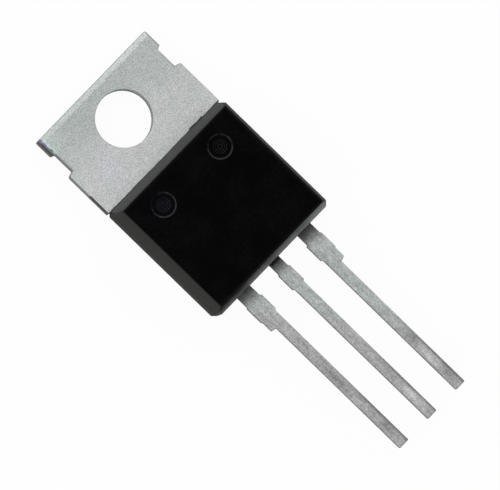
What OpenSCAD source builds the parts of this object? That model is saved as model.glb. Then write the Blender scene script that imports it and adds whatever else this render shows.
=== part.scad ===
// Three-lead voltage regulator in a moulded power package: a copper slug with a drilled
// fixing tab, three stamped leads, a soldered chip with its bond wires, and the black
// epoxy that is moulded round them. All lengths are in millimetres.
//
// The origin is on the axis of the fixing hole, on the back of the tab. +Z points out of
// the moulded front, +Y towards the free end of the tab and +X to the right seen from
// the front, so the leads run towards -Y: input, ground and output from -X to +X.

/* [Fixing tab] */
// Width of the tab where it meets the moulding
tab_w = 9.95; // [9.75:0.05:10.2]
// Length of bare tab, from its free end to the moulding
tab_l = 6.32; // [6:0.02:6.8]
// Thickness of the tab and of the slug that it runs into
tab_t = 1.3; // [1.15:0.05:1.4]
// Diameter of the fixing hole
hole_d = 3.65; // [3.4:0.05:3.9]
// From the axis of the hole to the free end of the tab
hole_to_end = 2.87; // [2.7:0.01:3.1]
// Width across the two lugs at the free end
lug_w = 9.68; // [9.5:0.02:9.9]
// Length of each lug
lug_l = 1.28; // [1.1:0.02:1.6]
// Depth of the side notches below the lugs
notch_d = 0.26; // [0.2:0.02:0.4]
// Length of the straight floor of each notch
notch_l = 1.46; // [1.2:0.02:1.6]
// Length of the steep slopes at both ends of each notch
notch_slope = 0.11; // [0.06:0.01:0.2]
// Radius of the outer corner where each notch ends and the tab has its full width
notch_corner_r = 0.18; // [0.1:0.02:0.24]
// Chamfer on the free corners of the tab
tab_chamfer = 0.06; // [0.04:0.01:0.12]

/* [Slug inside the moulding] */
// Width of the slug where its back shows
slug_back_w = 7.9; // [7.4:0.1:8.4]
// Overhang of the slug's front over its back, on each side and at its end
lock_ledge = 0.4; // [0.2:0.05:0.5]
// Thickness of that overhang
lock_ledge_t = 0.6; // [0.4:0.05:0.8]
// Width of the moisture groove across the slug
groove_w = 0.4; // [0.2:0.05:0.6]
// Depth of the moisture groove
groove_d = 0.18; // [0.1:0.02:0.25]
// From the top of the moulding to the middle of the groove
groove_from_top = 1.1; // [0.8:0.1:1.5]

/* [Moulding] */
// Width of the moulding at its parting line
body_w = 9.96; // [9.8:0.02:10.4]
// Length of the moulding, without the tab
body_l = 9.34; // [9:0.02:9.8]
// Thickness of the moulding, from its back to its front face
body_t = 4.5; // [4.3:0.05:4.7]
// How far the sides and the bottom lean in between the parting line and the front
front_draft = 0.37; // [0.2:0.01:0.45]
// How far the end over the tab leans in between the tab and the front
tab_end_draft = 0.41; // [0.25:0.01:0.5]
// How far the sides and the bottom lean in between the parting line and the back
back_draft = 0.04; // [0.03:0.01:0.12]
// Chamfer on the upright corners over the leads, from the back to the parting line
lead_end_chamfer = 0.28; // [0.1:0.02:0.4]
// Chamfer on the upright corners over the tab, from the back to the parting line
tab_end_chamfer = 0.2; // [0.1:0.02:0.3]
// Chamfer that is left of them where they reach the front face
front_chamfer = 0.06; // [0.04:0.01:0.1]
// Diameter of the two ejector marks in the front face
mark_d = 1.5; // [1.2:0.05:1.8]
// Depth of the ejector marks
mark_depth = 0.05; // [0.03:0.01:0.1]
// Distance between the ejector marks
mark_spacing = 5.06; // [4.6:0.02:5.6]
// From the top of the moulding to the ejector marks
mark_from_top = 1.98; // [1.6:0.02:2.4]

/* [Leads] */
// Distance between neighbouring leads
pitch = 2.54; // [2.5:0.01:2.58]
// Length of the leads below the moulding
lead_l = 13.75; // [12.5:0.05:14.5]
// Width of the narrow part of each lead
lead_w = 0.76; // [0.65:0.01:0.9]
// Thickness of the leads
lead_t = 0.5; // [0.4:0.02:0.6]
// Height of the underside of the leads over the back of the tab
lead_z = 2.15; // [2:0.05:2.3]
// Extra width of the outer leads above their shoulders, on the side away from the middle
shoulder_w = 0.35; // [0.2:0.01:0.45]
// From the moulding to the shoulders of the outer leads
shoulder_l = 2.95; // [2.6:0.05:3.4]
// Extra width of the middle lead where it leaves the moulding, on each side
middle_root_w = 0.03; // [0.01:0.01:0.1]
// Step left by the sheared dam bar on the sides that face another lead
dam_step = 0.11; // [0.05:0.01:0.16]
// Step left by the sheared dam bar on the outside of the outer leads
dam_step_out = 0.07; // [0.03:0.01:0.12]
// From the moulding to the dam bar's stubs
dam_start = 0.82; // [0.6:0.02:1]
// Length of the dam bar's stubs along the lead
dam_l = 1.3; // [1.1:0.05:1.6]
// Length of the small slopes on the shoulders and stubs
lead_slope = 0.12; // [0.06:0.01:0.2]

/* [Leads inside the moulding] */
// Width of the middle lead where it is bent down to the slug
neck_w = 1.5; // [1.2:0.05:1.8]
// Inside radius of the two bends in the middle lead
bend_r = 0.25; // [0.15:0.01:0.35]
// Angle of the sloping stretch between those bends
bend_angle = 60; // [50:1:70]
// Straight length of lead held by the moulding before it widens or bends
grip_l = 0.3; // [0.2:0.02:0.4]
// Width of the bond post at the head of each outer lead
post_w = 2.3; // [2:0.05:2.5]
// Length of the bond post along the lead
post_l = 1.1; // [0.9:0.05:1.2]
// Diameter of the lock hole through each bond post
lock_hole_d = 0.45; // [0.3:0.05:0.6]
// From the bottom edge of each bond post to its lock hole
lock_hole_up = 0.42; // [0.35:0.01:0.5]

/* [Chip and bonds] */
// Width of the chip
die_w = 2.4; // [2:0.1:3]
// Length of the chip
die_l = 2.1; // [1.8:0.1:2.6]
// Thickness of the chip
die_t = 0.3; // [0.2:0.02:0.4]
// Thickness of the solder under the chip
solder_t = 0.06; // [0.04:0.01:0.1]
// How far the solder stands out round the chip
solder_margin = 0.12; // [0.05:0.01:0.2]
// From the top of the moulding to the middle of the chip
die_from_top = 3.9; // [3.5:0.1:4.3]
// Diameter of the two wires that carry the load
power_wire_d = 0.2; // [0.12:0.01:0.25]
// Diameter of the sense wire and the ground wire
signal_wire_d = 0.12; // [0.08:0.01:0.16]
// Rise of each wire's loop over the straight line between its ends
loop_rise = 0.55; // [0.4:0.05:0.7]
// From the chip's edge to the middle of a bond
bond_inset = 0.32; // [0.25:0.01:0.4]
// Distance on the output post between its two bonds
bond_gap = 0.7; // [0.5:0.05:0.9]
// From the chip's lower edge to the ground bond on the slug
ground_bond_reach = 1.1; // [0.9:0.1:1.4]

/* [Hidden] */
$fn = 64;

// Lines across the part, from the tab's free end down to the tips of the leads
tab_end_y = hole_to_end;
body_top_y = tab_end_y - tab_l;
body_bottom_y = body_top_y - body_l;

// The mould parts level with the front of the leads
parting_z = lead_z + lead_t;

// The two bends that set the slug down from the plane of the leads
bend_mid_r = bend_r + lead_t / 2;
drop = lead_z - (tab_t - lead_t);
slope_l = (drop - 2 * bend_mid_r * (1 - cos(bend_angle))) / sin(bend_angle);
bend_run = 2 * bend_mid_r * sin(bend_angle) + slope_l * cos(bend_angle);
bend_steps = 8;
// How far the neck runs into the slug that it is one piece with
neck_lap = 0.2;
slug_end_y = body_bottom_y + grip_l + bend_run;
slug_front_w = slug_back_w + 2 * lock_ledge;

// Seats of the chip and of the bonds
die_y = body_top_y - die_from_top;
die_z = tab_t + solder_t;
chip_bond_y = die_y - die_l / 2 + bond_inset;
chip_bond_x = die_w / 2 - bond_inset;
post_bond_y = body_bottom_y + grip_l + post_l - bond_inset;
post_x = pitch + shoulder_w / 2;

// How far cutting tools stand out of what they cut
over = 0.5;

// ---- Fixing tab, slug and the lead that is one piece with them ----

function unit(v) = v / norm(v);

// An arc of radius r in place of a corner, between the corners before and after it
function rounded(before, corner, after, r, steps = 8) =
  let (u = unit(before - corner), v = unit(after - corner), half_angle = acos(u * v) / 2)
  let (reach = r / tan(half_angle), centre = corner + unit(u + v) * r / sin(half_angle))
  let (start = corner + u * reach - centre, end = corner + v * reach - centre)
  [for (i = [0:steps]) centre + r * unit(start * (1 - i / steps) + end * i / steps)];

// Right-hand edge of the bare tab, from the free end down to the moulding
function tab_edge() =
  let (lug_x = lug_w / 2, floor_x = lug_w / 2 - notch_d)
  let (floor_top = tab_end_y - lug_l - notch_slope, floor_end = floor_top - notch_l)
  let (notch_end = floor_end - notch_slope)
  concat(
    [
      [lug_x - tab_chamfer, tab_end_y],
      [lug_x, tab_end_y - tab_chamfer],
      [lug_x, tab_end_y - lug_l],
      [floor_x, floor_top],
      [floor_x, floor_end]
    ],
    rounded([floor_x, floor_end], [tab_w / 2, notch_end], [tab_w / 2, body_top_y], notch_corner_r),
    [[tab_w / 2, body_top_y]]
  );

function reversed(points) = [for (i = [len(points) - 1:-1:0]) points[i]];
function mirrored(points) = [for (p = reversed(points)) [-p.x, p.y]];

module slug() {
  slug_l = body_top_y - slug_end_y;
  linear_extrude(tab_t) polygon(concat(tab_edge(), mirrored(tab_edge())));
  translate([-slug_back_w / 2, slug_end_y + lock_ledge, 0])
    cube([slug_back_w, slug_l - lock_ledge, tab_t]);
  translate([-slug_front_w / 2, slug_end_y, tab_t - lock_ledge_t])
    cube([slug_front_w, slug_l, lock_ledge_t]);
}

module moisture_groove() {
  translate([-slug_front_w / 2 - over, body_top_y - groove_from_top, tab_t])
    rotate([90, 0, 90])
      linear_extrude(slug_front_w + 2 * over)
        polygon([[-groove_w / 2, 0], [0, -groove_d], [groove_w / 2, 0], [0, over]]);
}

// One face of the neck, seen along X: it leaves the slug, climbs the slope and levels off.
// low_r and high_r are the face's radii in the bend at the slug and in the one at the lead.
function neck_face(low_r, high_r) = concat(
  [for (i = [0:bend_steps]) let (a = bend_angle * i / bend_steps)
    [slug_end_y - low_r * sin(a), tab_t + bend_r - low_r * cos(a)]],
  [for (i = [bend_steps:-1:0]) let (a = bend_angle * i / bend_steps)
    [body_bottom_y + grip_l + high_r * sin(a), lead_z - bend_r + high_r * cos(a)]]
);

module neck() {
  rotate([90, 0, 90])
    linear_extrude(neck_w, center = true)
      polygon(concat(
        [[slug_end_y + neck_lap, tab_t]],
        neck_face(bend_r, bend_r + lead_t),
        [[body_bottom_y + grip_l / 2, lead_z + lead_t], [body_bottom_y + grip_l / 2, lead_z]],
        reversed(neck_face(bend_r + lead_t, bend_r)),
        [[slug_end_y + neck_lap, tab_t - lead_t]]
      ));
}

// One side of a lead, from inside the moulding to its tip, at x = half its width
function plain_side(root, top) = [
  [lead_w / 2 + root, top],
  [lead_w / 2 + root, -dam_start],
  [lead_w / 2 + dam_step, -dam_start - lead_slope],
  [lead_w / 2 + dam_step, -dam_start - dam_l],
  [lead_w / 2, -dam_start - dam_l - lead_slope],
  [lead_w / 2, -lead_l]
];

function shouldered_side(top) = let (wide = lead_w / 2 + shoulder_w) [
  [wide, top],
  [wide, -dam_start],
  [wide + dam_step_out, -dam_start - lead_slope],
  [wide + dam_step_out, -dam_start - dam_l],
  [wide, -dam_start - dam_l - lead_slope],
  [wide, -shoulder_l],
  [lead_w / 2, -shoulder_l - lead_slope],
  [lead_w / 2, -lead_l]
];

module tab_and_ground_lead() {
  side = plain_side(middle_root_w, grip_l);
  color([0.70, 0.73, 0.72]) {
    difference() {
      slug();
      translate([0, 0, -over]) cylinder(d = hole_d, h = tab_t + 2 * over);
      moisture_groove();
    }
    neck();
    translate([0, body_bottom_y, lead_z])
      linear_extrude(lead_t) polygon(concat(side, mirrored(side)));
  }
}

// ---- Outer leads: a bond post, a wide root with one shoulder, and a narrow tail ----

module outer_lead(side) {
  top = grip_l + post_l / 2;
  outline = concat(shouldered_side(top), mirrored(plain_side(0, top)));
  translate([side * pitch, body_bottom_y, lead_z])
    difference() {
      union() {
        linear_extrude(lead_t) polygon([for (p = outline) [side * p.x, p.y]]);
        translate([(side * shoulder_w - post_w) / 2, grip_l, 0]) cube([post_w, post_l, lead_t]);
      }
      translate([side * shoulder_w / 2, grip_l + lock_hole_up, -over])
        cylinder(d = lock_hole_d, h = lead_t + 2 * over);
    }
}

module input_lead() {
  color([0.66, 0.69, 0.68]) outer_lead(-1);
}

module output_lead() {
  color([0.66, 0.69, 0.68]) outer_lead(1);
}

// ---- Chip, its solder and its bond wires ----

module silicon_chip() {
  color([0.35, 0.38, 0.45])
    translate([-die_w / 2, die_y - die_l / 2, die_z]) cube([die_w, die_l, die_t]);
}

module chip_solder() {
  color([0.55, 0.55, 0.53])
    translate([-die_w / 2 - solder_margin, die_y - die_l / 2 - solder_margin, tab_t])
      cube([die_w + 2 * solder_margin, die_l + 2 * solder_margin, solder_t]);
}

// Flattened end of a wire, lying on its pad along x
module bond_foot(d) {
  foot_w = 1.5 * d;
  linear_extrude(0.6 * d) {
    translate([-foot_w / 2, -foot_w / 2]) square(foot_w);
    for (end = [-1, 1]) translate([end * foot_w / 2, 0]) circle(d = foot_w);
  }
}

// A looped wire between two points on flat seats, each given by its seat's height
module bond_wire(from, to, d) {
  run = norm([to.x - from.x, to.y - from.y]);
  rise = to.z - from.z;
  chord = norm([run, rise]);
  loop_r = (pow(chord / 2, 2) + pow(loop_rise, 2)) / (2 * loop_rise);
  half_angle = asin(chord / 2 / loop_r);
  translate(from)
    rotate([0, 0, atan2(to.y - from.y, to.x - from.x)]) {
      bond_foot(d);
      translate([run, 0, rise]) bond_foot(d);
      translate([0, 0, d / 2])
        rotate([0, -atan2(rise, run), 0])
          translate([chord / 2, 0, loop_rise - loop_r])
            rotate([90, 0, 0])
              rotate([0, 0, 90 - half_angle])
                rotate_extrude(angle = 2 * half_angle) translate([loop_r, 0]) circle(d = d);
    }
}

module input_wire() {
  color([0.80, 0.80, 0.82])
    bond_wire([-chip_bond_x, chip_bond_y, die_z + die_t],
              [-post_x, post_bond_y, lead_z + lead_t], power_wire_d);
}

module output_wire() {
  color([0.80, 0.80, 0.82])
    bond_wire([chip_bond_x, chip_bond_y, die_z + die_t],
              [post_x - bond_gap / 2, post_bond_y, lead_z + lead_t], power_wire_d);
}

// The sense wire reads the voltage on the output post itself
module sense_wire() {
  color([0.80, 0.80, 0.82])
    bond_wire([chip_bond_x, die_y + die_l / 2 - bond_inset, die_z + die_t],
              [post_x + bond_gap / 2, post_bond_y, lead_z + lead_t], signal_wire_d);
}

module ground_wire() {
  color([0.80, 0.80, 0.82])
    bond_wire([0, chip_bond_y, die_z + die_t],
              [0, die_y - die_l / 2 - ground_bond_reach, tab_t], signal_wire_d);
}

// ---- Moulding ----

// Half width, top line and bottom line of the moulding at its back, level with the front of
// the tab, at its parting line and at its front face
parting_lean = tab_end_draft * (parting_z - tab_t) / (body_t - tab_t);
tab_lean = back_draft * (1 - tab_t / parting_z);
back_rim = [body_w / 2 - back_draft, body_top_y, body_bottom_y + back_draft];
tab_rim = [body_w / 2 - tab_lean, body_top_y, body_bottom_y + tab_lean];
parting_rim = [body_w / 2, body_top_y - parting_lean, body_bottom_y];
front_rim = [body_w / 2 - front_draft, body_top_y - tab_end_draft, body_bottom_y + front_draft];

// Distance of a rim's chamfered corners from the origin, along a diagonal of the part
function top_corner(rim, chamfer) = (rim[0] + rim[1] - chamfer) / sqrt(2);
function bottom_corner(rim, chamfer) = (rim[0] - rim[2] - chamfer) / sqrt(2);

module outline_across() {
  polygon([
    [-back_rim[0], 0], [-parting_rim[0], parting_z], [-front_rim[0], body_t],
    [front_rim[0], body_t], [parting_rim[0], parting_z], [back_rim[0], 0]
  ]);
}

module outline_along() {
  polygon([
    [back_rim[1], 0], [tab_rim[1], tab_t], [front_rim[1], body_t],
    [front_rim[2], body_t], [parting_rim[2], parting_z], [back_rim[2], 0]
  ]);
}

// Section along a diagonal, which cuts a top corner at one end and a bottom corner at the other
module outline_diagonal() {
  polygon([
    [top_corner(back_rim, tab_end_chamfer), 0],
    [top_corner(tab_rim, tab_end_chamfer), tab_t],
    [top_corner(parting_rim, tab_end_chamfer), parting_z],
    [top_corner(front_rim, front_chamfer), body_t],
    [-bottom_corner(front_rim, front_chamfer), body_t],
    [-bottom_corner(parting_rim, lead_end_chamfer), parting_z],
    [-bottom_corner(back_rim, lead_end_chamfer), 0]
  ]);
}

module moulding_block() {
  reach = body_w + 2 * abs(body_bottom_y);
  intersection() {
    rotate([90, 0, 0]) linear_extrude(reach, center = true) outline_across();
    rotate([90, 0, 90]) linear_extrude(reach, center = true) outline_along();
    rotate([90, 0, 45]) linear_extrude(reach, center = true) outline_diagonal();
    rotate([90, 0, 135]) linear_extrude(reach, center = true) outline_diagonal();
  }
}

module moulded_body() {
  color([0.07, 0.07, 0.07])
    difference() {
      moulding_block();
      for (side = [-1, 1])
        translate([side * mark_spacing / 2, body_top_y - mark_from_top, body_t - mark_depth])
          cylinder(d = mark_d, h = mark_depth + over);
      tab_and_ground_lead();
      input_lead();
      output_lead();
      silicon_chip();
      chip_solder();
      input_wire();
      output_wire();
      sense_wire();
      ground_wire();
    }
}

moulded_body();
tab_and_ground_lead();
input_lead();
output_lead();
silicon_chip();
chip_solder();
input_wire();
output_wire();
sense_wire();
ground_wire();
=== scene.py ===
import math

import bmesh
import bpy
from mathutils import Matrix, Vector


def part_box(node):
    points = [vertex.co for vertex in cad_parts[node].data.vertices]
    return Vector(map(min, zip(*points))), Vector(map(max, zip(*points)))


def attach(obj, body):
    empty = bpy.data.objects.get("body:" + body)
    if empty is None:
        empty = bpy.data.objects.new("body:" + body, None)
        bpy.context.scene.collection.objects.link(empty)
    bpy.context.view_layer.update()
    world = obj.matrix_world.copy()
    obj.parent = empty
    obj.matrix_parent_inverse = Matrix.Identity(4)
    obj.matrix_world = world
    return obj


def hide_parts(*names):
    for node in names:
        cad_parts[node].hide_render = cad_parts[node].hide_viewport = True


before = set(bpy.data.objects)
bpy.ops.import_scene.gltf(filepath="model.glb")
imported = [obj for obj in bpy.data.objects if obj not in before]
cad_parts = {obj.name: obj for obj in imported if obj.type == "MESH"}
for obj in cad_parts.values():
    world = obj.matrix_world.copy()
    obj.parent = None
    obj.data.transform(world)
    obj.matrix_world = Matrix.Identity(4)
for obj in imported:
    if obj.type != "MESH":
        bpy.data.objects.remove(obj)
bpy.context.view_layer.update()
MM = 0.001

# ---- Leads ----
# Three leads stamped from half-millimetre copper strip and tin plated. A wide root, a sheared
# dam bar and a narrow tail repeat on each; the middle lead is bent down and joins the tab.
# The punch leaves the front edges rolled over and the back edges nearly sharp.

STRIP_LOW, STRIP_HIGH = (corner.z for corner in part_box("input_lead"))
LEAD_TIP_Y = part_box("input_lead")[0].y
BODY_LOW, BODY_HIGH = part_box("moulded_body")
STRIP_MIDDLE = (STRIP_LOW + STRIP_HIGH) / 2
STRIP_THICKNESS = STRIP_HIGH - STRIP_LOW
LEAD_PITCH = 2.54 * MM
LEAD_WIDTH = 0.76 * MM
GRIP_LENGTH = 0.3 * MM
POST_LENGTH = 1.1 * MM
POST_WIDENING = 0.595 * MM
NECK_WIDENING = 0.37 * MM
STUB_WIDTH = 0.11 * MM
TAB_THICKNESS = 1.3 * MM
BEND_RADIUS = 0.5 * MM
BEND_SLOPE = math.radians(60)
BEND_STEPS = 12
EDGE_STEPS = 4
TIP_DRAWN_IN = 0.13
SLUG_LAP = 0.2 * MM
MERGE_DISTANCE = 1e-7
LEAD_SMOOTH_ANGLE = math.radians(40)

# Distances below the moulding in millimetres, not metres, as the finishes read them
FILM_AND_SHADE_REACH = 1.38
DAM_START = 0.82
DAM_END = 2.12

LEAD_INPUTS = {
    "Width": LEAD_WIDTH,
    "Thickness": STRIP_THICKNESS,
    "Front roll": 0.07 * MM,
    "Back edge": 0.02 * MM,
    "Station": 0.045 * MM,
    "Bend radius": BEND_RADIUS,
    "Shoulder side": 0.0,
    "Shoulder width": 0.35 * MM,
    "Shoulder end": 2.95 * MM,
    "Root width": 0.0,
    "Dam start": DAM_START * MM,
    "Dam length": (DAM_END - DAM_START) * MM,
    "Inner stub": STUB_WIDTH,
    "Outer stub": 0.07 * MM,
    "Slope": 0.12 * MM,
    "Head widening": POST_WIDENING,
    "Tip roll": 0.05 * MM,
}


class Wire:
    """An output socket of a node tree. Sums of wires and numbers add their Math nodes to the tree."""

    def __init__(self, tree, socket=None):
        self.tree = tree
        self.socket = socket

    def node(self, kind, settings=None, sockets=None, output=0):
        """Adds a node, sets its settings, fills its sockets, and returns one of its outputs."""
        new = self.tree.nodes.new(kind)
        for name, value in (settings or {}).items():
            setattr(new, name, value)
        for key, value in (sockets or {}).items():
            if isinstance(value, Wire):
                self.tree.links.new(value.socket, new.inputs[key])
            else:
                new.inputs[key].default_value = value
        return Wire(self.tree, new.outputs[output])

    def maths(self, operation, *values):
        return self.node("ShaderNodeMath", {"operation": operation}, dict(enumerate(values)))

    def __add__(self, other):
        return self.maths("ADD", self, other)

    def __radd__(self, other):
        return self.maths("ADD", other, self)

    def __sub__(self, other):
        return self.maths("SUBTRACT", self, other)

    def __rsub__(self, other):
        return self.maths("SUBTRACT", other, self)

    def __mul__(self, other):
        return self.maths("MULTIPLY", self, other)

    def __rmul__(self, other):
        return self.maths("MULTIPLY", other, self)

    def __truediv__(self, other):
        return self.maths("DIVIDE", self, other)

    def __neg__(self):
        return self.maths("MULTIPLY", self, -1.0)

    def __abs__(self):
        return self.maths("ABSOLUTE", self)

    def __gt__(self, other):
        return self.maths("GREATER_THAN", self, other)

    def __lt__(self, other):
        return self.maths("LESS_THAN", self, other)

    def rise(self, low, high):
        """0 below low, 1 above high, and a smooth step between them."""
        return self.node(
            "ShaderNodeMapRange",
            {"interpolation_type": "SMOOTHSTEP"},
            {"Value": self, "From Min": low, "From Max": high},
        )

    def near(self, middle, reach):
        """1 at middle, and smoothly down to 0 at a distance of reach on both sides."""
        return 1 - abs(self - middle).rise(0.0, reach)


def new_node_group(name, inputs):
    """An empty Geometry Nodes tree with named number inputs; returns the tree and its input wires."""
    tree = bpy.data.node_groups.new(name, "GeometryNodeTree")
    tree.interface.new_socket("Geometry", in_out="INPUT", socket_type="NodeSocketGeometry")
    tree.interface.new_socket("Geometry", in_out="OUTPUT", socket_type="NodeSocketGeometry")
    for title, value in inputs.items():
        kind = "NodeSocketInt" if isinstance(value, int) else "NodeSocketFloat"
        tree.interface.new_socket(title, in_out="INPUT", socket_type=kind).default_value = value
    tree.interface.new_socket("Finish", in_out="INPUT", socket_type="NodeSocketMaterial")
    entry = tree.nodes.new("NodeGroupInput")
    return tree, {socket.name: Wire(tree, socket) for socket in entry.outputs if socket.name}


def close_node_group(tree, geometry, finish):
    """Ends a tree in Realize Instances and Set Material."""
    real = geometry.node("GeometryNodeRealizeInstances", None, {"Geometry": geometry})
    real = real.node("GeometryNodeSetMaterial", None, {"Geometry": real, "Material": finish})
    leave = tree.nodes.new("NodeGroupOutput")
    tree.links.new(real.socket, leave.inputs["Geometry"])


def grow(name, seed_mesh, tree, finish, **sizes):
    """Runs a tree on a path's or some points' mesh and returns the result as a plain mesh object."""
    seed = bpy.data.objects.new(name, seed_mesh)
    bpy.context.scene.collection.objects.link(seed)
    modifier = seed.modifiers.new(tree.name, "NODES")
    modifier.node_group = tree
    identifiers = {i.name: i.identifier for i in tree.interface.items_tree if i.in_out == "INPUT"}
    modifier[identifiers["Finish"]] = finish
    for title, value in sizes.items():
        modifier[identifiers[title.replace("_", " ").capitalize()]] = value
    return plain(seed)


def plain(piece):
    """Turns a piece's evaluated modifiers into its own mesh and removes them."""
    graph = bpy.context.evaluated_depsgraph_get()
    graph.update()
    mesh = bpy.data.meshes.new_from_object(piece.evaluated_get(graph))
    piece.modifiers.clear()
    old, piece.data = piece.data, mesh
    bpy.data.meshes.remove(old)
    mesh.name = piece.name
    return piece


def path_mesh(name, points, closed=False):
    mesh = bpy.data.meshes.new(name)
    edges = [(i, i + 1) for i in range(len(points) - 1)]
    if closed:
        edges.append((len(points) - 1, 0))
    mesh.from_pydata(points, edges, [])
    return mesh


def finish_solid(piece, smooth_angle):
    """Merges doubles, turns every face outwards and smooths across soft edges."""
    work = bmesh.new()
    work.from_mesh(piece.data)
    bmesh.ops.remove_doubles(work, verts=work.verts, dist=MERGE_DISTANCE)
    bmesh.ops.recalc_face_normals(work, faces=work.faces)
    work.to_mesh(piece.data)
    work.free()
    piece.data.shade_smooth()
    piece.data.set_sharp_from_angle(angle=smooth_angle)
    level = piece.modifiers.new("flat faces stay flat", "WEIGHTED_NORMAL")
    level.keep_sharp = True
    return plain(piece)


def stamped_lead_tree():
    tree, size = new_node_group("stamped_lead", LEAD_INPUTS)
    start = Wire(tree)

    # The strip's path, with its bends rounded, and the strip's section
    path = start.node("GeometryNodeMeshToCurve", None, {"Mesh": size["Geometry"]})
    path = start.node(
        "GeometryNodeFilletCurve",
        {"mode": "POLY"},
        {"Curve": path, "Count": BEND_STEPS, "Radius": size["Bend radius"]},
    )
    path = start.node(
        "GeometryNodeResampleCurve", {"mode": "LENGTH"}, {"Curve": path, "Length": size["Station"]}
    )
    path = start.node("GeometryNodeSetCurveNormal", {"mode": "Z_UP"}, {"Curve": path})
    section = start.node(
        "GeometryNodeCurvePrimitiveQuadrilateral",
        None,
        {"Width": size["Width"], "Height": size["Thickness"]},
    )
    corner = start.node("GeometryNodeInputPosition")
    corner_up = start.node("ShaderNodeSeparateXYZ", None, {0: corner}, output=1)
    front = corner_up > 0.0
    edge = size["Back edge"] + front * (size["Front roll"] - size["Back edge"])
    section = start.node(
        "GeometryNodeFilletCurve",
        {"mode": "POLY"},
        {"Curve": section, "Count": EDGE_STEPS, "Radius": edge},
    )
    strip = start.node(
        "GeometryNodeCurveToMesh", None, {"Curve": path, "Profile Curve": section, "Fill Caps": True}
    )

    # How far each side stands out of the plain strip at a distance below the moulding
    place = start.node("GeometryNodeInputPosition")
    across = start.node("ShaderNodeSeparateXYZ", None, {0: place}, output=0)
    along = start.node("ShaderNodeSeparateXYZ", None, {0: place}, output=1)
    up = start.node("ShaderNodeSeparateXYZ", None, {0: place}, output=2)
    below = BODY_LOW.y - along
    side = start.maths("SIGN", across)
    shouldered = (side * size["Shoulder side"]) > 0.5

    def passed(distance):
        return below.rise(distance, distance + size["Slope"])

    dam = passed(size["Dam start"]) - passed(size["Dam start"] + size["Dam length"])
    stub = size["Inner stub"] + shouldered * (size["Outer stub"] - size["Inner stub"])
    root = size["Root width"] * (1 - passed(size["Dam start"]))
    shoulder = shouldered * size["Shoulder width"] * (1 - passed(size["Shoulder end"]))
    head = size["Head widening"] * (1 - passed(-GRIP_LENGTH - size["Slope"]))
    wider = side * (dam * stub + root + shoulder + head)

    # The cutter draws in the edges of the tip
    tip = 1 - (along - LEAD_TIP_Y).rise(0.0, size["Tip roll"])
    drawn_in = tip * TIP_DRAWN_IN
    bent = start.node(
        "ShaderNodeCombineXYZ",
        None,
        {
            0: (across + wider) * (1 - drawn_in),
            1: along,
            2: up + (STRIP_MIDDLE - up) * drawn_in,
        },
    )
    strip = start.node("GeometryNodeSetPosition", None, {"Geometry": strip, "Position": bent})
    close_node_group(tree, strip, size["Finish"])
    return tree


def object_place(start):
    """A point's place in millimetres, as a vector and as its three numbers."""
    place = start.node("ShaderNodeTexCoord", output=3)
    place = start.node("ShaderNodeVectorMath", {"operation": "SCALE"}, {0: place, "Scale": 1 / MM})
    return place, *[start.node("ShaderNodeSeparateXYZ", None, {0: place}, output=i) for i in range(3)]


def facing(start):
    """The three numbers of the surface's own direction."""
    normal = start.node("ShaderNodeTexCoord", output=1)
    return [start.node("ShaderNodeSeparateXYZ", None, {0: normal}, output=i) for i in range(3)]


def cloud(start, place, scale, detail=2.0, roughness=0.5):
    """Noise from 0 to 1, with its grains 1 / scale millimetres apart."""
    return start.node(
        "ShaderNodeTexNoise",
        None,
        {"Vector": place, "Scale": scale, "Detail": detail, "Roughness": roughness},
    )


def stretched(start, place, x, y, z):
    return start.node("ShaderNodeMapping", None, {"Vector": place, "Scale": (x, y, z)})


def blend(first, second, factor):
    """Mixes two colours, each a wire or three numbers."""
    colours = [c if isinstance(c, Wire) else (*c, 1) for c in (first, second)]
    return factor.node(
        "ShaderNodeMix",
        {"data_type": "RGBA"},
        {0: factor, 6: colours[0], 7: colours[1]},
        output=2,
    )


def shaded(colour, level):
    """A colour made lighter or darker by a factor."""
    return level.node("ShaderNodeVectorMath", {"operation": "SCALE"}, {0: colour, "Scale": level})


def bumpy(start, height, depth, strength=0.5):
    return start.node(
        "ShaderNodeBump", None, {"Strength": strength, "Distance": depth * MM, "Height": height}
    )


def begin_finish(name):
    material = bpy.data.materials.new(name)
    material.use_nodes = True
    material.node_tree.nodes.clear()
    return material, Wire(material.node_tree)


def end_finish(material, start, constants, **varying):
    """A Principled shader: constants are set on its sockets and varying wires are linked to them."""
    sockets = {title.replace("_", " "): wire for title, wire in varying.items()}
    shader = start.node("ShaderNodeBsdfPrincipled", None, {**constants, **sockets})
    out = material.node_tree.nodes.new("ShaderNodeOutputMaterial")
    material.node_tree.links.new(shader.socket, out.inputs["Surface"])
    return material


LEAD_COOL = (0.318, 0.341, 0.332)
LEAD_WARM = (0.30, 0.30, 0.298)
TIN_DULL = (0.15, 0.155, 0.15)
SHEARED_DARK = (0.10, 0.10, 0.095)
RESIN_FILM_AND_SHADE = (0.022, 0.022, 0.021)
BARE_COPPER = (0.13, 0.075, 0.055)
TIN_ROUGHNESS = 0.36
GRAIN_ROUGHNESS = 0.14

# Where handling has rubbed or stained a lead: its x, y and reach along the lead, in millimetres
RUBBED = ((0.03, -25.0, 1.3), (2.5, -24.0, 1.4))
STAINED = ((-2.54, -25.0, 0.9), (-2.6, -20.6, 1.8), (2.54, -22.2, 1.1), (2.6, -25.4, 0.8))
SPOT_HALF_WIDTH = 0.42
CUT_DEPTH = 0.012


def spots(x, y, places):
    """1 in the middle of each (x, y, reach) spot on a lead."""
    total = 0.0
    for at_x, at_y, reach in places:
        total = x.near(at_x, SPOT_HALF_WIDTH) * y.near(at_y, reach) + total
    return total


def tin_level(start, place):
    """How much the matte plating's grains lighten or darken it, round 1."""
    fine = cloud(start, place, 11.5, 2.0, 0.55)
    middling = cloud(start, place, 3.5, 2.0, 0.5)
    return 1 + (fine - 0.5) * 1.5 + (middling - 0.5) * 0.35, fine


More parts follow.
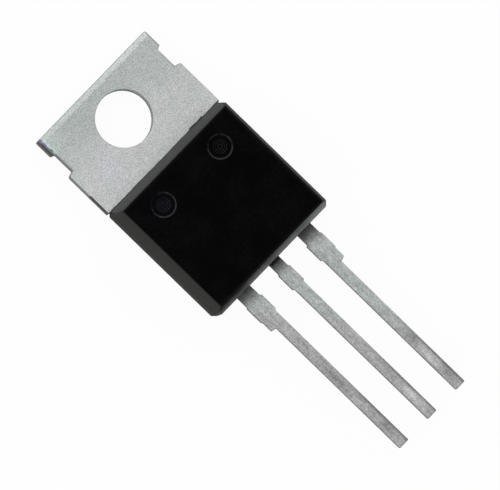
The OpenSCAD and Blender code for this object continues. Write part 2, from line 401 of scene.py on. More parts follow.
def lead_finish():
    material, start = begin_finish("tinned_lead")
    place, x, y, _ = object_place(start)
    nx, _, nz = facing(start)
    level, grain = tin_level(start, place)
    streaks = cloud(start, stretched(start, place, 4.0, 0.4, 4.0), 1.6, 3.0, 0.55)
    broad = cloud(start, place, 0.55, 2.0)

    pitch = LEAD_PITCH / MM
    below = BODY_LOW.y / MM - y
    tail = (below - x * 1.1 + (broad - 0.5) * 3.0).rise(4.0, 7.5)
    colour = blend(LEAD_COOL, LEAD_WARM, tail)
    across = x - start.maths("ROUND", x / pitch) * pitch
    level = level * (1 + (streaks - 0.5) * 0.8)
    level = level * (1 + spots(x, y, RUBBED) * 0.42 - spots(x, y, STAINED) * 0.32)
    right_side = (across + (streaks - 0.5) * 0.3).rise(0.14, 0.34)
    level = level * (1 - right_side * below.rise(7.5, 10.5) * 0.5)

    # Rolled and sheared edges are duller than the flat faces; the walls facing left are painted
    # darker still, as painted shade, most of all at the dam bar
    leftward = (-nx).rise(0.02, 0.4)
    edge = start.maths("MAXIMUM", 1 - abs(nz).rise(0.35, 0.985), leftward)
    dam_zone = below.rise(DAM_START, DAM_START + 0.1) * (1 - below.rise(DAM_END, DAM_END + 0.2))
    dull_and_shaded = shaded(TIN_DULL, 1 - leftward * 0.5 - dam_zone * leftward * 0.35)
    colour = blend(shaded(colour, level), dull_and_shaded, edge * 0.92)

    # A film of resin bleeds out of the mould as far as the dam bar; its dark colour, fading away from
    # the moulding, is also painted shade of the moulding on the lead roots
    on_input = x < -pitch / 2
    film_and_shade_distance = below * (1 + on_input * 0.12) + (grain - 0.5) * 0.2 + (broad - 0.5) * 0.6
    film_and_shade = 1 - film_and_shade_distance.rise(0.0, FILM_AND_SHADE_REACH)
    colour = blend(colour, RESIN_FILM_AND_SHADE, film_and_shade * (0.93 - on_input * 0.08))

    # The tips were cut after the plating, so their ends are bare
    cut = (y < LEAD_TIP_Y / MM + CUT_DEPTH) * 0.85
    colour = blend(colour, BARE_COPPER, cut)
    return end_finish(
        material,
        start,
        {},
        Base_Color=colour,
        Metallic=1 - film_and_shade * 0.3,
        Roughness=TIN_ROUGHNESS + grain * GRAIN_ROUGHNESS + film_and_shade * 0.2,
        Normal=bumpy(start, grain, 0.005),
    )


def ground_path():
    """Along the middle lead: the straight part, the slope down to the slug and a lap inside it."""
    slug_level = TAB_THICKNESS - STRIP_THICKNESS / 2
    cut_back = BEND_RADIUS * math.tan(BEND_SLOPE / 2)
    slope_run = (STRIP_MIDDLE - slug_level) / math.tan(BEND_SLOPE)
    high_y = BODY_LOW.y + GRIP_LENGTH + cut_back
    low_y = high_y + slope_run
    return [
        (0, LEAD_TIP_Y, STRIP_MIDDLE),
        (0, high_y, STRIP_MIDDLE),
        (0, low_y, slug_level),
        (0, low_y + cut_back + SLUG_LAP, slug_level),
    ]


lead_tree = stamped_lead_tree()
tinned_lead = lead_finish()
post_end_y = BODY_LOW.y + GRIP_LENGTH + POST_LENGTH
outer_path = [(0, LEAD_TIP_Y, STRIP_MIDDLE), (0, post_end_y, STRIP_MIDDLE)]
for lead_name, side in (("input_lead", -1), ("output_lead", 1)):
    lead = grow(
        "stamped_" + lead_name,
        path_mesh(lead_name, outer_path),
        lead_tree,
        tinned_lead,
        shoulder_side=float(side),
    )
    lead.data.transform(Matrix.Translation((side * LEAD_PITCH, 0, 0)))
    finish_solid(lead, LEAD_SMOOTH_ANGLE)
    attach(lead, "root")
    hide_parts(lead_name)

ground_lead = grow(
    "stamped_ground_lead",
    path_mesh("ground_lead", ground_path()),
    lead_tree,
    tinned_lead,
    root_width=0.03 * MM,
    outer_stub=STUB_WIDTH,
    head_widening=NECK_WIDENING,
)
finish_solid(ground_lead, LEAD_SMOOTH_ANGLE)

# ---- Fixing tab and slug ----
# The thick part of the same strip, punched with the hole and the notches that it was carried
# by. Only the sides of the two lugs, where the next part was cut off, show bare copper.

TAB_END_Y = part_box("tab_and_ground_lead")[1].y
SLUG_END_Y = ground_path()[-1][1] - SLUG_LAP
PUNCH_ROLL = 0.06 * MM
HOLE_ROLL = 0.04 * MM
BACK_EDGE = 0.015 * MM
UPRIGHT_EDGE = 0.03 * MM
SHARP_ANGLE = math.radians(30)
FLAT_ANGLE = math.radians(2)
TAB_SMOOTH_ANGLE = math.radians(35)

# In millimetres, not metres, as the finish reads them
TAB_HALF = 4.975
LEFT_WALL_SHADE_TO_Y = -1.9
LUG_HALF = 4.84
LUG_LENGTH = 1.28
HOLE_RADIUS = 1.825
END_BAND = 0.34
BURNISHED = 0.55

TIN_COOL = (0.372, 0.416, 0.399)
TIN_WARM = (0.424, 0.421, 0.421)
SHEARED = (0.25, 0.255, 0.25)
LEFT_WALL_SHADE_BLACK = (0.006, 0.006, 0.006)
CUT_COPPER = (0.11, 0.06, 0.045)
CUT_DARK = (0.035, 0.029, 0.026)
HEAT_TEAL = (0.10, 0.14, 0.15)
HEAT_PURPLE = (0.14, 0.14, 0.23)
HEAT_PALE = (0.55, 0.63, 0.66)
HEAT_GREEN = (0.39, 0.47, 0.44)
HEAT_LILAC = (0.43, 0.43, 0.50)


def tab_finish():
    material, start = begin_finish("tinned_tab")
    place, x, y, z = object_place(start)
    nx, ny, nz = facing(start)
    level, grain = tin_level(start, place)
    broad = cloud(start, place, 0.5, 2.0)
    patches = cloud(start, place, 3.2, 2.0)
    from_end = TAB_END_Y / MM - y

    # The half past the hole is a shade darker than the rest
    past_hole = (y + (broad - 0.5) * 2.0).rise(-1.2, 1.6)
    past_hole = past_hole * (1 - x.rise(-1.0, 4.5) * 0.5 - (-x).rise(2.0, 4.0) * 0.35)
    tinge = cloud(start, place, 5.0, 3.0, 0.6)
    colour = blend(TIN_WARM, TIN_COOL, past_hole * 0.35 + (tinge - 0.3).rise(0.0, 0.4) * 0.75)
    level = level * (1.02 - past_hole * 0.18 - x.rise(0.0, 5.0) * 0.06)

    # Close to the moulding the plating is painted lighter, as painted light that makes up for the
    # moulding's shade on it
    level = level * (1.13 - (y - BODY_HIGH.y / MM).rise(-0.5, 2.2) * 0.13)

    # The free end was rolled flatter; a band along it is painted lighter as a painted sheen, less so
    # towards the left
    band = 1 - (from_end + (patches - 0.5) * 0.2).rise(END_BAND * 0.8, END_BAND * 1.2)
    end_sheen = (nz > 0.9) * band
    level = level * (1 + end_sheen * (0.34 - (-x).rise(1.5, 4.8) * 0.14))
    colour = shaded(colour, level)

    # The edges are rolled at the front, burnished by the punch below, and torn to the back
    edge = 1 - abs(nz).rise(0.3, 0.98)
    torn = 1 - (z + (patches - 0.5) * 0.3).rise(BURNISHED, BURNISHED + 0.25)
    wall = blend(SHEARED, SHEARED_DARK, torn)
    # The walls facing the leads and the outer walls facing left are painted darker, as painted shade
    outer = (-nx).rise(0.2, 0.9) * (-x).rise(3.0, 4.0)
    wall = shaded(wall, 1.1 - (-ny).rise(0.2, 0.9) * 0.5 - outer * 0.5)
    colour = blend(colour, shaded(wall, level), edge * 0.9)

    # Next to the moulding, the tab's walls facing left and its left edge are painted near black, as
    # painted shade
    crept = (y + (broad - 0.5) * 2.0 + (patches - 0.5) * 0.2) < LEFT_WALL_SHADE_TO_Y
    crept = crept * ((-nx).rise(0.1, 0.4) + (-x).rise(TAB_HALF - 0.05, TAB_HALF - 0.02))
    colour = blend(colour, LEFT_WALL_SHADE_BLACK, start.maths("MINIMUM", crept, 0.97))

    # Bare copper on the sides of the lugs, and the tint that the cut's heat left on one of them
    on_lug = (from_end < LUG_LENGTH + 0.02) * (abs(nz) < 0.6 + (x > 0.0) * 0.37)
    cut = on_lug * (abs(x) > LUG_HALF - 0.06)
    drawn = cloud(start, stretched(start, place, 1.0, 2.0, 7.0), 2.2, 3.0, 0.6)
    copper = blend(CUT_COPPER, CUT_DARK, (drawn + (z - 0.65) * 0.25).rise(0.38, 0.62))
    colour = blend(colour, copper, cut * 0.95)
    inside = LUG_HALF + x
    ragged = inside + (patches - 0.5) * 0.35
    tinted = (from_end < LUG_LENGTH + 0.1) * (nz > 0.5)
    heat = blend(HEAT_TEAL, HEAT_PURPLE, (y + (patches - 0.5) * 0.6).rise(2.05, 2.65))
    heat = blend(CUT_DARK, heat, ragged.rise(0.07, 0.17))
    near = (1 - ragged.rise(0.2, 0.32)) * tinted
    far = (1 - (inside + (broad - 0.5) * 0.8).rise(0.3, 1.3)) * tinted * (1 - band * 0.8)
    pale = ragged.near(0.36, 0.16) * patches.rise(0.4, 0.55) * tinted
    lilac = x.near(-3.0, 1.3) * y.near(-1.6, 1.3) * (nz > 0.5)
    colour = blend(colour, shaded(HEAT_GREEN, level), far * 0.5)
    colour = blend(colour, shaded(HEAT_LILAC, level), lilac * 0.45)
    colour = blend(colour, HEAT_PALE, pale * 0.5)
    colour = blend(colour, heat, near * 0.92)
    return end_finish(
        material,
        start,
        {"Metallic": 1.0},
        Base_Color=colour,
        Roughness=TIN_ROUGHNESS + grain * GRAIN_ROUGHNESS + edge * 0.15,
        Normal=bumpy(start, grain, 0.006),
    )


def punched_tab():
    """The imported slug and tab, with each sheared edge given its own roundness."""
    work = bmesh.new()
    work.from_mesh(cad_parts["tab_and_ground_lead"].data)
    bmesh.ops.remove_doubles(work, verts=work.verts, dist=MERGE_DISTANCE)
    everything = work.verts[:] + work.edges[:] + work.faces[:]
    bmesh.ops.bisect_plane(
        work, geom=everything, plane_co=(0, SLUG_END_Y, 0), plane_no=(0, -1, 0), clear_outer=True
    )
    bmesh.ops.holes_fill(work, edges=[e for e in work.edges if e.is_boundary])
    bmesh.ops.dissolve_limit(
        work, angle_limit=FLAT_ANGLE, verts=work.verts, edges=work.edges
    )
    weight = work.edges.layers.float.new("bevel_weight_edge")
    for edge in work.edges:
        if len(edge.link_faces) != 2 or edge.calc_face_angle() < SHARP_ANGLE:
            continue
        middle = (edge.verts[0].co + edge.verts[1].co) / 2
        if middle.y < BODY_HIGH.y:
            continue
        on_hole = math.hypot(middle.x, middle.y) < (HOLE_RADIUS + 0.1) * MM
        if abs(edge.verts[0].co.z - edge.verts[1].co.z) > 0.1 * MM:
            edge[weight] = UPRIGHT_EDGE / PUNCH_ROLL
        elif middle.z < TAB_THICKNESS / 2:
            edge[weight] = BACK_EDGE / PUNCH_ROLL
        else:
            edge[weight] = HOLE_ROLL / PUNCH_ROLL if on_hole else 1.0
    mesh = bpy.data.meshes.new("punched_tab")
    work.to_mesh(mesh)
    work.free()
    piece = bpy.data.objects.new("punched_tab", mesh)
    bpy.context.scene.collection.objects.link(piece)
    bevel = piece.modifiers.new("sheared edges", "BEVEL")
    bevel.limit_method = "WEIGHT"
    bevel.width = PUNCH_ROLL
    bevel.segments = 4
    bevel.use_clamp_overlap = True
    return plain(piece)


tab = punched_tab()
tab.data.materials.clear()
tab.data.materials.append(tab_finish())
finish_solid(tab, TAB_SMOOTH_ANGLE)
for piece in (tab, ground_lead):
    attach(piece, "root")
    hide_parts("tab_and_ground_lead")

# ---- Chip, solder and bond wires ----
# The chip is soldered to the slug, and drawn aluminium wires are bonded from it to the posts and
# to the slug. The moulding seals them in, so they show only if it is taken off.

SILICON = (0.10, 0.11, 0.15)
METAL_TRACK = (0.55, 0.56, 0.58)
SOLDER_GREY = (0.33, 0.33, 0.32)
SOLDER_LIGHT = (0.48, 0.48, 0.46)
WIRE_LIGHT = (0.78, 0.78, 0.80)
WIRE_DARK = (0.55, 0.55, 0.58)


def chip_finish():
    material, start = begin_finish("polished_silicon")
    place, *_ = object_place(start)
    _, _, nz = facing(start)
    cells = start.node(
        "ShaderNodeTexVoronoi",
        {"distance": "CHEBYCHEV", "feature": "F1"},
        {"Vector": place, "Scale": 3.2, "Randomness": 0.7},
    )
    tracks = (1 - cells.rise(0.16, 0.2)) * (nz > 0.9)
    sheen = cloud(start, place, 1.2, 2.0)
    colour = blend(shaded(SILICON, 0.8 + sheen * 0.4), METAL_TRACK, tracks * 0.9)
    return end_finish(
        material,
        start,
        {},
        Base_Color=colour,
        Metallic=0.3 + tracks * 0.6,
        Roughness=0.12 + tracks * 0.2,
        Normal=bumpy(start, tracks, 0.003),
    )


def solder_finish():
    material, start = begin_finish("dull_solder")
    place, *_ = object_place(start)
    grain = cloud(start, place, 6.0, 4.0, 0.6)
    return end_finish(
        material,
        start,
        {"Metallic": 1.0},
        Base_Color=blend(SOLDER_GREY, SOLDER_LIGHT, grain.rise(0.4, 0.65)),
        Roughness=0.35 + grain * 0.2,
        Normal=bumpy(start, grain, 0.01),
    )


def wire_finish():
    material, start = begin_finish("drawn_aluminium")
    place, *_ = object_place(start)
    lines = cloud(start, stretched(start, place, 30.0, 2.0, 30.0), 1.0, 3.0)
    return end_finish(
        material,
        start,
        {"Metallic": 1.0},
        Base_Color=blend(WIRE_DARK, WIRE_LIGHT, lines.rise(0.35, 0.6)),
        Roughness=0.22 + lines * 0.16,
        Normal=bumpy(start, lines, 0.004),
    )


wire = wire_finish()
sealed_finishes = {
    "silicon_chip": chip_finish(),
    "chip_solder": solder_finish(),
    "input_wire": wire,
    "output_wire": wire,
    "sense_wire": wire,
    "ground_wire": wire,
}
for node_name, finish in sealed_finishes.items():
    for material_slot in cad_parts[node_name].material_slots:
        material_slot.material = finish

# ---- Moulding ----
# Black epoxy pressed round the strip in a two-part mould, which parts level with the front
# of the leads; the walls lean away from that line. The two round marks are where the ejector
# pins pushed.

FRONT_DRAFT = 0.37 * MM
TAB_END_DRAFT = 0.41 * MM
BACK_DRAFT = 0.04 * MM
LEAD_END_CHAMFER = 0.28 * MM
TAB_END_CHAMFER = 0.2 * MM
FRONT_CHAMFER = 0.06 * MM
BACK_RECESS = 0.02 * MM
FRONT_EDGE = 0.1 * MM
OTHER_EDGE_SHARE = 0.3
BODY_SMOOTH_ANGLE = math.radians(25)
MARK_RADIUS = 0.75 * MM
MARK_DEPTH = 0.05 * MM
MARK_SPACING = 5.06 * MM
MARK_Y = BODY_HIGH.y - 1.98 * MM
MARKS = [(side * MARK_SPACING / 2, MARK_Y, BODY_HIGH.z) for side in (-1, 1)]

EPOXY_FRONT = (0.0003, 0.0003, 0.0003)
EPOXY_FRONT_GREY = (0.0022, 0.0022, 0.0022)
EPOXY_FRONT_BLUE = (0.0038, 0.0042, 0.0085)
EPOXY_SIDE = (0.051, 0.053, 0.0525)
EPOXY_SIDE_PALE = (0.071, 0.073, 0.0725)
EPOXY_SIDE_WARM = (0.061, 0.059, 0.053)
EPOXY_RIM = (0.010, 0.010, 0.010)
EPOXY_RING = (0.034, 0.034, 0.034)
EPOXY_SHINE = {"Specular IOR Level": 0.02}
EPOXY_ROUGHNESS = 0.5
WEAR_ROUGHNESS = 0.2
TINT_REACH = 0.9


def epoxy_finish():
    material, start = begin_finish("moulded_epoxy")
    place, x, y, z = object_place(start)
    nx, ny, nz = facing(start)
    pitted = cloud(start, place, 14.0, 3.0, 0.6)
    mottle = cloud(start, place, 4.5, 3.0, 0.6)
    broad = cloud(start, place, 0.6, 2.0)
    front = blend(EPOXY_FRONT, EPOXY_FRONT_GREY, (mottle * 0.5 + broad * 0.5).rise(0.4, 0.65))
    left_mark = x.near(-MARK_SPACING / 2 / MM, TINT_REACH) * y.near(MARK_Y / MM, TINT_REACH)
    front = blend(front, EPOXY_FRONT_BLUE, left_mark * 0.8)

    # The front is painted lighter towards its rim, as a painted highlight along the rounded edge
    half = (BODY_HIGH.x - FRONT_DRAFT) / MM
    to_rim = start.maths("MINIMUM", half - x, (BODY_HIGH.y - TAB_END_DRAFT) / MM - y)
    to_rim = start.maths("MINIMUM", to_rim, y - (BODY_LOW.y + FRONT_DRAFT) / MM)
    front = blend(front, EPOXY_RIM, (1 - to_rim.rise(0.0, 0.28)) * 0.55)

    # The walls are a paler grey than the polished front, and each is painted lighter or darker by the
    # way it faces, as painted light and shade: the long sides darker, the right one most, and darker
    # below the strip; the wall towards the leads lighter towards the back and the right; the tab end
    # a little lighter towards the back. The walls facing left are also a warmer grey
    to_front = (z - STRIP_HIGH / MM).rise(0.0, (BODY_HIGH.z - STRIP_HIGH) / MM)
    behind = 1 - (z - STRIP_HIGH / MM).rise(-0.2, 0.1)
    level = 1 - abs(nx).rise(0.4, 0.8) * (0.47 + behind * 0.2) - nx.rise(0.4, 0.8) * 0.22
    level = level * (1 + (-ny).rise(0.4, 0.8) * (1.95 - to_front * 1.9 + x * 0.3))
    level = level * (1 + ny.rise(0.6, 0.9) * (0.42 - to_front * 0.45))
    sides = blend(EPOXY_SIDE, EPOXY_SIDE_PALE, mottle.rise(0.35, 0.7))
    sides = blend(sides, EPOXY_SIDE_WARM, (-nx).rise(0.4, 0.8) * 0.7)
    turned = 1 - nz.rise(0.6, 0.97)
    colour = blend(front, shaded(sides, level), turned)
    return end_finish(
        material,
        start,
        EPOXY_SHINE,
        Base_Color=colour,
        Roughness=EPOXY_ROUGHNESS + mottle * WEAR_ROUGHNESS,
        Normal=bumpy(start, pitted * (0.4 + turned * 0.6), 0.008),
    )


def wall_ring(height):
    """The moulding's outline at a height: a rectangle with blunt corners, as eight points."""
    if height <= STRIP_HIGH:
        draft = BACK_DRAFT * (1 - height / STRIP_HIGH)
        top_chamfer, bottom_chamfer = TAB_END_CHAMFER, LEAD_END_CHAMFER
    else:
        share = (height - STRIP_HIGH) / (BODY_HIGH.z - STRIP_HIGH)
        draft = FRONT_DRAFT * share
        top_chamfer = TAB_END_CHAMFER + (FRONT_CHAMFER - TAB_END_CHAMFER) * share
        bottom_chamfer = LEAD_END_CHAMFER + (FRONT_CHAMFER - LEAD_END_CHAMFER) * share
    lean = max(0.0, (height - TAB_THICKNESS) / (BODY_HIGH.z - TAB_THICKNESS))
    half = BODY_HIGH.x - draft
    top = BODY_HIGH.y - TAB_END_DRAFT * lean
    bottom = BODY_LOW.y + draft
    right = [
        (half - top_chamfer, top),
        (half, top - top_chamfer),
        (half, bottom + bottom_chamfer),
        (half - bottom_chamfer, bottom),
    ]
    return right + [(-px, py) for px, py in reversed(right)]


def moulding_mesh():
    heights = (BACK_RECESS, TAB_THICKNESS, STRIP_HIGH, BODY_HIGH.z)
    work = bmesh.new()
    rings = [[work.verts.new((px, py, h)) for px, py in wall_ring(h)] for h in heights]
    for low, high in zip(rings, rings[1:]):
        for i in range(len(low)):
            j = (i + 1) % len(low)
            work.faces.new((low[i], low[j], high[j], high[i]))
    work.faces.new(rings[0])
    work.faces.new(rings[-1])
    bmesh.ops.recalc_face_normals(work, faces=work.faces)
    weight = work.edges.layers.float.new("bevel_weight_edge")
    for edge in work.edges:
        level = edge.verts[0].co.z == edge.verts[1].co.z
        if level and edge.verts[0].co.z == BODY_HIGH.z:
            edge[weight] = 1.0
        elif not level or edge.verts[0].co.z == BACK_RECESS:
            edge[weight] = OTHER_EDGE_SHARE
    mesh = bpy.data.meshes.new("moulding")
    work.to_mesh(mesh)
    work.free()
    return mesh


def mark_cutter():
    work = bmesh.new()
    for mark in MARKS:
        bmesh.ops.create_cone(
            work,
            cap_ends=True,
            segments=96,
            radius1=MARK_RADIUS,
            radius2=MARK_RADIUS,
            depth=2 * MARK_DEPTH,
            matrix=Matrix.Translation(mark),
        )
    mesh = bpy.data.meshes.new("mark_cutter")
    work.to_mesh(mesh)
    work.free()
    cutter = bpy.data.objects.new("mark_cutter", mesh)
    bpy.context.scene.collection.objects.link(cutter)
    return cutter


epoxy = epoxy_finish()
body = bpy.data.objects.new("moulding", moulding_mesh())
bpy.context.scene.collection.objects.link(body)
bevel = body.modifiers.new("rounded edges", "BEVEL")
bevel.limit_method = "WEIGHT"
bevel.width = FRONT_EDGE
bevel.segments = 5
cutter = mark_cutter()
cut = body.modifiers.new("ejector marks", "BOOLEAN")
cut.operation = "DIFFERENCE"
cut.solver = "EXACT"
cut.object = cutter
plain(body)
bpy.data.objects.remove(cutter)
body.data.materials.clear()
body.data.materials.append(epoxy)
finish_solid(body, BODY_SMOOTH_ANGLE)

# ---- Ejector marks ----
# Each ejector pin leaves a thin burr round its end and the fine circles that its end was turned
# with. Both are part of the moulding.

MARK_INPUTS = {
    "Rim radius": 0.765 * MM,
    "Rim width": 0.1 * MM,
    "Rim height": 0.03 * MM,
    "Turning lines": 3,
    "Turning step": 0.14 * MM,
    "Line width": 0.035 * MM,
    "Floor depth": MARK_DEPTH,
}
RING_SMOOTH_ANGLE = math.radians(60)


def ejector_mark_tree():
    tree, size = new_node_group("ejector_mark", MARK_INPUTS)
    start = Wire(tree)

    def hoop(radius, width, height):
        """A flattened ring round the mark's middle."""
        circle = start.node(
            "GeometryNodeCurvePrimitiveCircle", None, {"Resolution": 96, "Radius": radius}
        )
        section = start.node(
            "GeometryNodeCurvePrimitiveCircle", None, {"Resolution": 8, "Radius": width / 2}
        )
        ring = start.node(
            "GeometryNodeCurveToMesh", None, {"Curve": circle, "Profile Curve": section}
        )
        flatten = start.node("ShaderNodeCombineXYZ", None, {0: 1.0, 1: 1.0, 2: height / width})
        return start.node("GeometryNodeTransform", None, {"Geometry": ring, "Scale": flatten})

    rim = hoop(size["Rim radius"], size["Rim width"], size["Rim height"])

    # The turning lines are one ring, repeated on a stack of points and scaled by its number
    steps = start.node(
        "GeometryNodeMeshLine", None, {"Count": size["Turning lines"], "Offset": (0, 0, 0)}
    )
    number = start.node("GeometryNodeInputIndex")
    floor_drop = start.node("ShaderNodeCombineXYZ", None, {2: -size["Floor depth"]})
    circle = start.node("GeometryNodeCurvePrimitiveCircle", None, {"Resolution": 64, "Radius": 1.0})
    circles = start.node(
        "GeometryNodeInstanceOnPoints",
        None,
        {"Points": steps, "Instance": circle, "Scale": (number + 1) * size["Turning step"]},
    )
    circles = start.node("GeometryNodeRealizeInstances", None, {"Geometry": circles})
    section = start.node(
        "GeometryNodeCurvePrimitiveCircle", None, {"Resolution": 6, "Radius": size["Line width"] / 2}
    )
    lines = start.node(
        "GeometryNodeCurveToMesh", None, {"Curve": circles, "Profile Curve": section}
    )
    lines = start.node(
        "GeometryNodeTransform", None, {"Geometry": lines, "Translation": floor_drop}
    )
    join = tree.nodes.new("GeometryNodeJoinGeometry")
    for part in (rim, lines):
        tree.links.new(part.socket, join.inputs[0])
    marks = start.node(
        "GeometryNodeInstanceOnPoints",
        None,
        {"Points": size["Geometry"], "Instance": Wire(tree, join.outputs[0])},
    )
    close_node_group(tree, marks, size["Finish"])
    return tree


def scuffed_and_lit_finish():
    """Epoxy rubbed pale by the pins in patches, and painted paler towards the leads, as a painted
    highlight on that side of each mark.
    """
    material, start = begin_finish("scuffed_and_lit_epoxy")
    place, _, y, _ = object_place(start)
    wear = cloud(start, place, 3.5, 3.0, 0.6)
    # Paler in random patches, and paler towards the leads as a painted highlight
    rubbed_and_lit = (wear - 0.5) * 1.6 + (MARK_Y / MM - y) * 0.45 + 0.55
    return end_finish(
        material,
        start,
        EPOXY_SHINE,
        Base_Color=blend(EPOXY_FRONT_GREY, EPOXY_RING, rubbed_and_lit.rise(0.0, 1.0)),
        Roughness=EPOXY_ROUGHNESS + wear * WEAR_ROUGHNESS,
        Normal=bumpy(start, wear, 0.004),
    )


mark_points = bpy.data.meshes.new("mark_points")
mark_points.from_pydata(MARKS, [], [])
scuffed_and_lit = scuffed_and_lit_finish()
mark_rings = grow("ejector_mark_rings", mark_points, ejector_mark_tree(), scuffed_and_lit)
finish_solid(mark_rings, RING_SMOOTH_ANGLE)

# ---- Flash ----
# Where the mould closes on metal, a little resin creeps out: as a ragged edge along the tab, as
# a ridge round the parting line, and as a thicker skin on the root of the middle lead.

FLASH_INPUTS = {
    "Width": 0.1 * MM,
    "Height": 0.05 * MM,
    "Station": 0.06 * MM,
    "Raggedness": 0.8,
    "Taper": 0.0,
    "Seed": 3.0,
}

# Left end, right end, width and height of each stretch along the tab, in millimetres
TAB_FLASH = ((-4.93, 4.93, 0.09, 0.05), (2.35, 3.5, 0.21, 0.07), (-4.9, -3.9, 0.13, 0.05))
# Place, reach and added thickness of the skin on each lead's root, in millimetres
LEAD_SKINS = ((0.0, 0.2, 0.12), (-2.54, 0.06, 0.04), (2.54, 0.06, 0.04))
SKIN_ROOT = 0.1
TAB_SEED = 3.0
SKIN_SEED = 9.0
THINNEST = 0.05
FLASH_SMOOTH_ANGLE = math.radians(40)
ROOT_DARK = (0.006, 0.006, 0.006)
ROOT_LIGHT = (0.02, 0.02, 0.02)


def flash_tree():
    tree, size = new_node_group("resin_flash", FLASH_INPUTS)
    start = Wire(tree)
    path = start.node("GeometryNodeMeshToCurve", None, {"Mesh": size["Geometry"]})
    path = start.node(
        "GeometryNodeResampleCurve", {"mode": "LENGTH"}, {"Curve": path, "Length": size["Station"]}
    )
    path = start.node("GeometryNodeSetCurveNormal", {"mode": "Z_UP"}, {"Curve": path})
    along = start.node("GeometryNodeSplineParameter")
    place = start.node("GeometryNodeInputPosition")
    wander = start.node(
        "ShaderNodeTexNoise",
        {"noise_dimensions": "4D"},
        {"Vector": place, "W": size["Seed"], "Scale": 2.2 / MM, "Detail": 2.0},
    )
    ragged = 1 + (wander - 0.5) * 2 * size["Raggedness"]
    girth = ragged * (1 - along.rise(0.3, 1.0) * size["Taper"])
    path = start.node(
        "GeometryNodeSetCurveRadius",
        None,
        {"Curve": path, "Radius": start.maths("MAXIMUM", girth, THINNEST)},
    )
    section = start.node(
        "GeometryNodeCurvePrimitiveQuadrilateral",
        None,
        {"Width": size["Width"], "Height": size["Height"]},
    )
    section = start.node(
        "GeometryNodeFilletCurve",
        {"mode": "POLY"},
        {"Curve": section, "Count": 3, "Radius": size["Height"] * 0.3},
    )
    flash = start.node(
        "GeometryNodeCurveToMesh",
        None,
        {"Curve": path, "Profile Curve": section, "Scale": girth, "Fill Caps": True},
    )
    close_node_group(tree, flash, size["Finish"])
    return tree


def rough_epoxy(name, dark, pale):
    """Epoxy that has crept out of the mould and set without touching its polish."""
    material, start = begin_finish(name)
    place, *_ = object_place(start)
    wear = cloud(start, place, 5.0, 3.0, 0.6)
    return end_finish(
        material,
        start,
        EPOXY_SHINE,
        Base_Color=blend(dark, pale, wear.rise(0.3, 0.6)),
        Roughness=EPOXY_ROUGHNESS + wear * WEAR_ROUGHNESS,
        Normal=bumpy(start, wear, 0.004),
    )


flash = flash_tree()
crept_resin = rough_epoxy("crept_resin", EPOXY_SIDE, EPOXY_SIDE_PALE)
root_resin = rough_epoxy("root_resin", ROOT_DARK, ROOT_LIGHT)
crept = []
for number, (left, right, width, height) in enumerate(TAB_FLASH):
    ends = [(px * MM, BODY_HIGH.y, TAB_THICKNESS) for px in (left, right)]
    crept.append(
        grow(
            "tab_flash_%d" % (number + 1),
            path_mesh("tab_flash", ends),
            flash,
            crept_resin,
            width=width * MM,
            height=height * MM,
            seed=TAB_SEED + number,
        )
    )
for number, (at_x, reach, thickness) in enumerate(LEAD_SKINS):
    ends = [(at_x * MM, BODY_LOW.y + py * MM, STRIP_MIDDLE) for py in (SKIN_ROOT, -reach)]
    crept.append(
        grow(
            "lead_skin_%d" % (number + 1),
            path_mesh("lead_skin", ends),
            flash,
            root_resin,
            width=LEAD_WIDTH + thickness * MM,
            height=STRIP_THICKNESS + thickness * MM,
            raggedness=0.06,
            taper=0.1,
            seed=SKIN_SEED + number,
        )
    )
parting = [(px, py, STRIP_HIGH) for px, py in wall_ring(STRIP_HIGH)]
crept.append(
    grow(
        "parting_ridge",
        path_mesh("parting_ridge", parting, closed=True),
        flash,
        crept_resin,
        width=0.016 * MM,
        height=0.012 * MM,
        raggedness=0.5,
    )
)
for piece in crept:
    finish_solid(piece, FLASH_SMOOTH_ANGLE)
for piece in (body, mark_rings, *crept):
    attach(piece, "root")
    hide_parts("moulded_body")

# ---- Light, floor and camera ----
# A soft white studio: a pale floor that fades into the background, a large lamp over one side
# and a weaker one over the other.

VIEW_WIDTH = 31.06 * MM
LENS = 800.0
SENSOR = 36.0
AIM = Vector((-0.297, -11.072, 2.2)) * MM
LEAN_TO_SIDE = math.radians(6.89)
LEAN_TO_END = math.radians(1.7)
TURN = math.radians(45.81)
NEAREST = 1 * MM
FARTHEST = 10
FLOOR_HALF = 1.5
FLOOR_Z = -0.01 * MM
PAPER = (0.9, 0.9, 0.9, 1)
WHITE = (1, 1, 1, 1)
FLOOR_GLOW = 0.955
SKY_STRENGTH = 0.6
LAMPS = {
    "key": {"at": (-0.45, 0.5, 0.9), "size": 1.3, "power": 4.3},
    "fill": {"at": (0.6, 0.2, 0.8), "size": 1.1, "power": 1.4},
}

camera = bpy.data.objects.new("camera", bpy.data.cameras.new("camera"))
camera.data.lens = LENS
camera.data.sensor_width = SENSOR
camera.data.clip_start = NEAREST
camera.data.clip_end = FARTHEST
camera.matrix_world = (
    Matrix.Translation(AIM)
    @ Matrix.Rotation(-LEAN_TO_SIDE, 4, "Y")
    @ Matrix.Rotation(-LEAN_TO_END, 4, "X")
    @ Matrix.Rotation(-TURN, 4, "Z")
    @ Matrix.Translation((0, 0, VIEW_WIDTH * LENS / SENSOR))
)
bpy.context.scene.collection.objects.link(camera)
bpy.context.scene.camera = camera


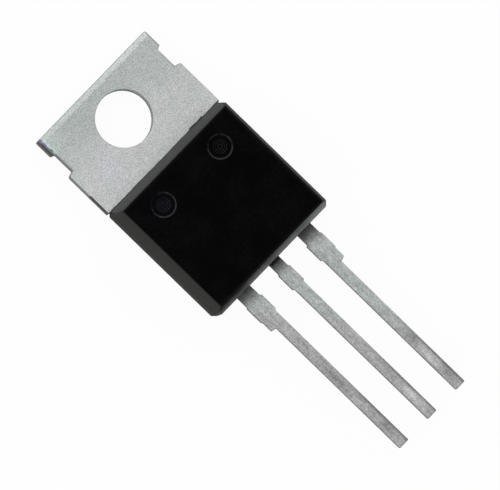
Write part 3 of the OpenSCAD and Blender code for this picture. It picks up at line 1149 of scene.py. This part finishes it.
def seen_rays(start):
    """1 where the camera sees a surface, directly or in metal or glass."""
    direct = start.node("ShaderNodeLightPath", output="Is Camera Ray")
    glossy = start.node("ShaderNodeLightPath", output="Is Glossy Ray")
    clear = start.node("ShaderNodeLightPath", output="Is Transmission Ray")
    return start.maths("MAXIMUM", start.maths("MAXIMUM", direct, glossy), clear)


def floor_finish():
    material, start = begin_finish("pale_floor")
    paper = start.node("ShaderNodeBsdfDiffuse", None, {"Color": PAPER})
    glow = start.node("ShaderNodeEmission", None, {"Color": WHITE, "Strength": 1.0})
    factor = seen_rays(start) * FLOOR_GLOW
    mixed = start.node("ShaderNodeMixShader", None, {0: factor, 1: paper, 2: glow})
    out = material.node_tree.nodes.new("ShaderNodeOutputMaterial")
    material.node_tree.links.new(mixed.socket, out.inputs["Surface"])
    return material


floor_mesh = bpy.data.meshes.new("floor")
floor_mesh.from_pydata(
    [(x * FLOOR_HALF, y * FLOOR_HALF, FLOOR_Z) for x, y in ((-1, -1), (1, -1), (1, 1), (-1, 1))],
    [],
    [(0, 1, 2, 3)],
)
floor = bpy.data.objects.new("floor", floor_mesh)
floor.data.materials.append(floor_finish())
bpy.context.scene.collection.objects.link(floor)

world = bpy.data.worlds.new("studio")
world.use_nodes = True
world.node_tree.nodes.clear()
bpy.context.scene.world = world
sky = Wire(world.node_tree)
strength = SKY_STRENGTH + seen_rays(sky) * (1 - SKY_STRENGTH)
backdrop = sky.node("ShaderNodeBackground", None, {"Color": WHITE, "Strength": strength})
world_out = world.node_tree.nodes.new("ShaderNodeOutputWorld")
world.node_tree.links.new(backdrop.socket, world_out.inputs["Surface"])

for lamp_name, lamp in LAMPS.items():
    light = bpy.data.lights.new(lamp_name, "AREA")
    light.shape = "DISK"
    light.size = lamp["size"]
    light.energy = lamp["power"]
    holder = bpy.data.objects.new(lamp_name, light)
    toward = AIM - Vector(lamp["at"])
    holder.matrix_world = (
        Matrix.Translation(lamp["at"]) @ toward.to_track_quat("-Z", "Y").to_matrix().to_4x4()
    )
    bpy.context.scene.collection.objects.link(holder)

bpy.context.scene.view_settings.view_transform = "Standard"
